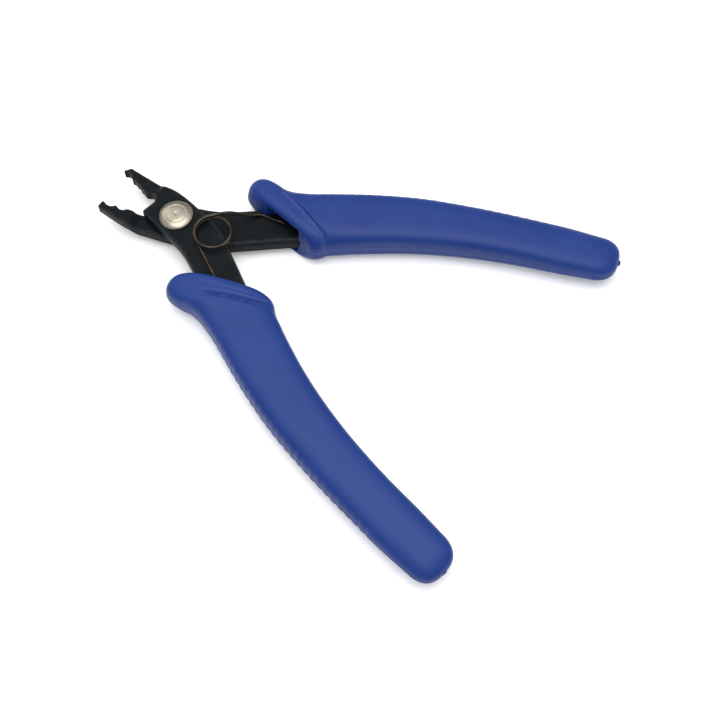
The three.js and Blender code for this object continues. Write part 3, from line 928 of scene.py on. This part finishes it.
def spring():
    """One wire: a hook in the upper arm, its leg, the coil, the other leg and its hook."""
    upper = [upper_bend + (coil(0) - upper_bend) * t for t in (0.15, 0.4, 0.65, 0.88)]
    upper = [*hook(upper_bend, upper_foot)[::-1], *upper]
    middle = [coil(t) for t in np.linspace(0, 1, COIL_POINTS)]
    lower = [slope_down(coil(1), lower_bend, t) for t in (0.1, 0.24, 0.4, 0.55, 0.7, 0.85)]
    way = np.array([*upper, *middle, *lower, *hook(lower_bend, lower_foot)])
    marks = running_length(way)
    coil_from, coil_to = marks[len(upper)], marks[len(upper) + len(middle) - 1]
    at = np.linspace(0, marks[-1], WIRE_RINGS)
    line = hermite(marks, way, at)
    # the turn mark: 1 on the upper leg, 0 on the lower leg, and a half on the coil
    upper_turn = 1 - smooth(coil_from - UPPER_SPREAD[0], coil_from - UPPER_SPREAD[1], at)
    lower_turn = smooth(coil_to + LOWER_SPREAD[0], coil_to + LOWER_SPREAD[1], at)
    turn = 0.5 + 0.5 * upper_turn - 0.5 * lower_turn

    tangent = np.gradient(line, axis=0)
    tangent /= np.linalg.norm(tangent, axis=1)[:, None]
    normal = np.cross(tangent[0], (0.3, 0.9, 0.1))
    shell = Shell()
    rings = []
    for k in range(WIRE_RINGS):
        normal = normal - tangent[k] * (normal @ tangent[k])
        normal /= np.linalg.norm(normal)
        across = np.cross(tangent[k], normal)
        taper = WIRE_END_TAPER if k in (0, WIRE_RINGS - 1) else 1
        section = circle(WIRE / 2 * taper, WIRE_SIDES)
        rings.append(shell.add(line[k] + section[:, :1] * normal + section[:, 1:] * across, turn[k]))
    shell.faces += [tuple(rings[0]), tuple(rings[-1])]
    shell.join(*rings)
    return mesh_object("spring", in_frame(shell.points), shell.faces, 50, {"turn": shell.marks})


def hook_hole(foot, side):
    """The hole that takes a leg's hook, in the frame of the half that it is in."""
    c, s = math.cos(side * OPEN_ANGLE), math.sin(side * OPEN_ANGLE)
    centre = (c * foot[0] + s * foot[1], side * (c * foot[1] - s * foot[0]))
    return centre, HOOK_HOLE_RADIUS, HOOK_HOLE_SIDES


# ---- the pieces ----
steel, plated, wire, vinyl = black_steel(), nickel(), spring_wire(), blue_vinyl()
bore = ((0, 0), BORE_RADIUS, BORE_SIDES)
upper_plate = plate("upper_plate", UPPER_JAW, UPPER_BACK, [bore, hook_hole(upper_foot, UPPER)], UPPER)
lower_plate = plate("lower_plate", LOWER_JAW, LOWER_BACK, [bore, hook_hole(lower_foot, LOWER)], LOWER)
pieces = [
    (upper_plate, "upper_half", "upper_side", "blackened_steel", steel),
    (lower_plate, "lower_half", "lower_side", "blackened_steel", steel),
    (grip("upper_handle", UPPER), "upper_grip", "upper_side", "blue_plastic", vinyl),
    (grip("lower_handle", LOWER), "lower_grip", "lower_side", "blue_plastic", vinyl),
    (rivet(), "pivot_rivet", "lower_side", "nickel", plated),
    (spring(), "return_spring", None, "spring_steel", wire),
]
for obj, node, body, slot, material in pieces:
    obj.data.materials.clear()
    obj.data.materials.append(material)
    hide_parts(node)
    if body:
        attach(obj, body)
    else:
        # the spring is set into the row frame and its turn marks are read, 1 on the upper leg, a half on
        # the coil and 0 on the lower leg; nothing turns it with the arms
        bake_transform(obj)
        share = np.zeros(len(obj.data.vertices), np.float32)
        obj.data.attributes["turn"].data.foreach_get("value", share)


# ---- floor, light and camera, in metres ----
FLOOR_GAP = 0.00003
FLOOR_X = 0.06
FLOOR_SIZE = 2.0
FLOOR_GLOW = 0.2
TOOL_CENTRE = Vector((0.055, -0.005, 0.003))
# the sky's strength by the height of its direction, from low to high
SKY_HEIGHTS = (0.2, 0.8)
SKY_STRENGTHS = (0.3, 1.06)
CAMERA_TARGET = Vector((59.75, -10.32, 3.7)) * MM
CAMERA_DISTANCE = 261.9 * MM
CAMERA_AZIMUTH = -60.09
CAMERA_ELEVATION = 63.77
CAMERA_ROLL = 0.475
CAMERA_LENS = 54.8


def floor():
    """A white floor, which glows a little so that the shadows on it stay light."""
    mesh = bpy.data.meshes.new("floor")
    b = bmesh.new()
    bmesh.ops.create_grid(b, x_segments=8, y_segments=8, size=FLOOR_SIZE)
    b.to_mesh(mesh)
    b.free()
    obj = bpy.data.objects.new("floor", mesh)
    obj.location = (FLOOR_X, 0, cad_bounds[0][2] - FLOOR_GAP)
    bpy.context.scene.collection.objects.link(obj)
    glow = {"Emission_Color": WHITE, "Emission_Strength": FLOOR_GLOW}
    obj.data.materials.append(Shader("floor_white", Roughness=0.9, Base_Color=FLOOR_WHITE, **glow).material)


def aimed(obj, azimuth, elevation, distance, target):
    """Puts a lamp or the camera at a distance from its target, and turns it to the target."""
    a, e = math.radians(azimuth), math.radians(elevation)
    direction = Vector((math.cos(e) * math.cos(a), math.cos(e) * math.sin(a), math.sin(e)))
    obj.location = target + distance * direction
    obj.rotation_euler = (target - obj.location).to_track_quat("-Z", "Y").to_euler()
    bpy.context.scene.collection.objects.link(obj)


def lamp(name, size, power, azimuth, elevation, distance):
    light = bpy.data.lights.new(name, "AREA")
    light.shape = "RECTANGLE"
    light.size, light.size_y = size
    light.energy = power
    aimed(bpy.data.objects.new(name, light), azimuth, elevation, distance, TOOL_CENTRE)


def sky():
    """White light from all around, which falls off towards the horizon."""
    world = bpy.data.worlds.new("sky")
    world.use_nodes = True
    tree = world.node_tree
    background = tree.nodes["Background"]
    background.inputs["Color"].default_value = WHITE
    direction = tree.nodes.new("ShaderNodeTexCoord").outputs["Generated"]
    split = tree.nodes.new("ShaderNodeSeparateXYZ")
    fall = tree.nodes.new("ShaderNodeMapRange")
    fall.inputs["From Min"].default_value, fall.inputs["From Max"].default_value = SKY_HEIGHTS
    fall.inputs["To Min"].default_value, fall.inputs["To Max"].default_value = SKY_STRENGTHS
    tree.links.new(direction, split.inputs["Vector"])
    tree.links.new(split.outputs["Z"], fall.inputs["Value"])
    tree.links.new(fall.outputs["Result"], background.inputs["Strength"])
    bpy.context.scene.world = world


def camera():
    data = bpy.data.cameras.new("camera")
    data.lens = CAMERA_LENS
    data.sensor_width = 36
    data.clip_start = 0.01
    obj = bpy.data.objects.new("camera", data)
    aimed(obj, CAMERA_AZIMUTH, CAMERA_ELEVATION, CAMERA_DISTANCE, CAMERA_TARGET)
    look = (CAMERA_TARGET - obj.location).to_track_quat("-Z", "Y").to_matrix()
    obj.rotation_euler = (look @ Matrix.Rotation(math.radians(CAMERA_ROLL), 3, "Z")).to_euler()
    bpy.context.scene.camera = obj


floor()
camera()
lamp("key", (0.7, 0.7), 4.6, 95, 88, 0.9)
lamp("side", (0.4, 0.6), 1.0, 160, 40, 1.0)
sky()
bpy.context.scene.view_settings.view_transform = "Standard"
bpy.context.scene.view_settings.look = "None"
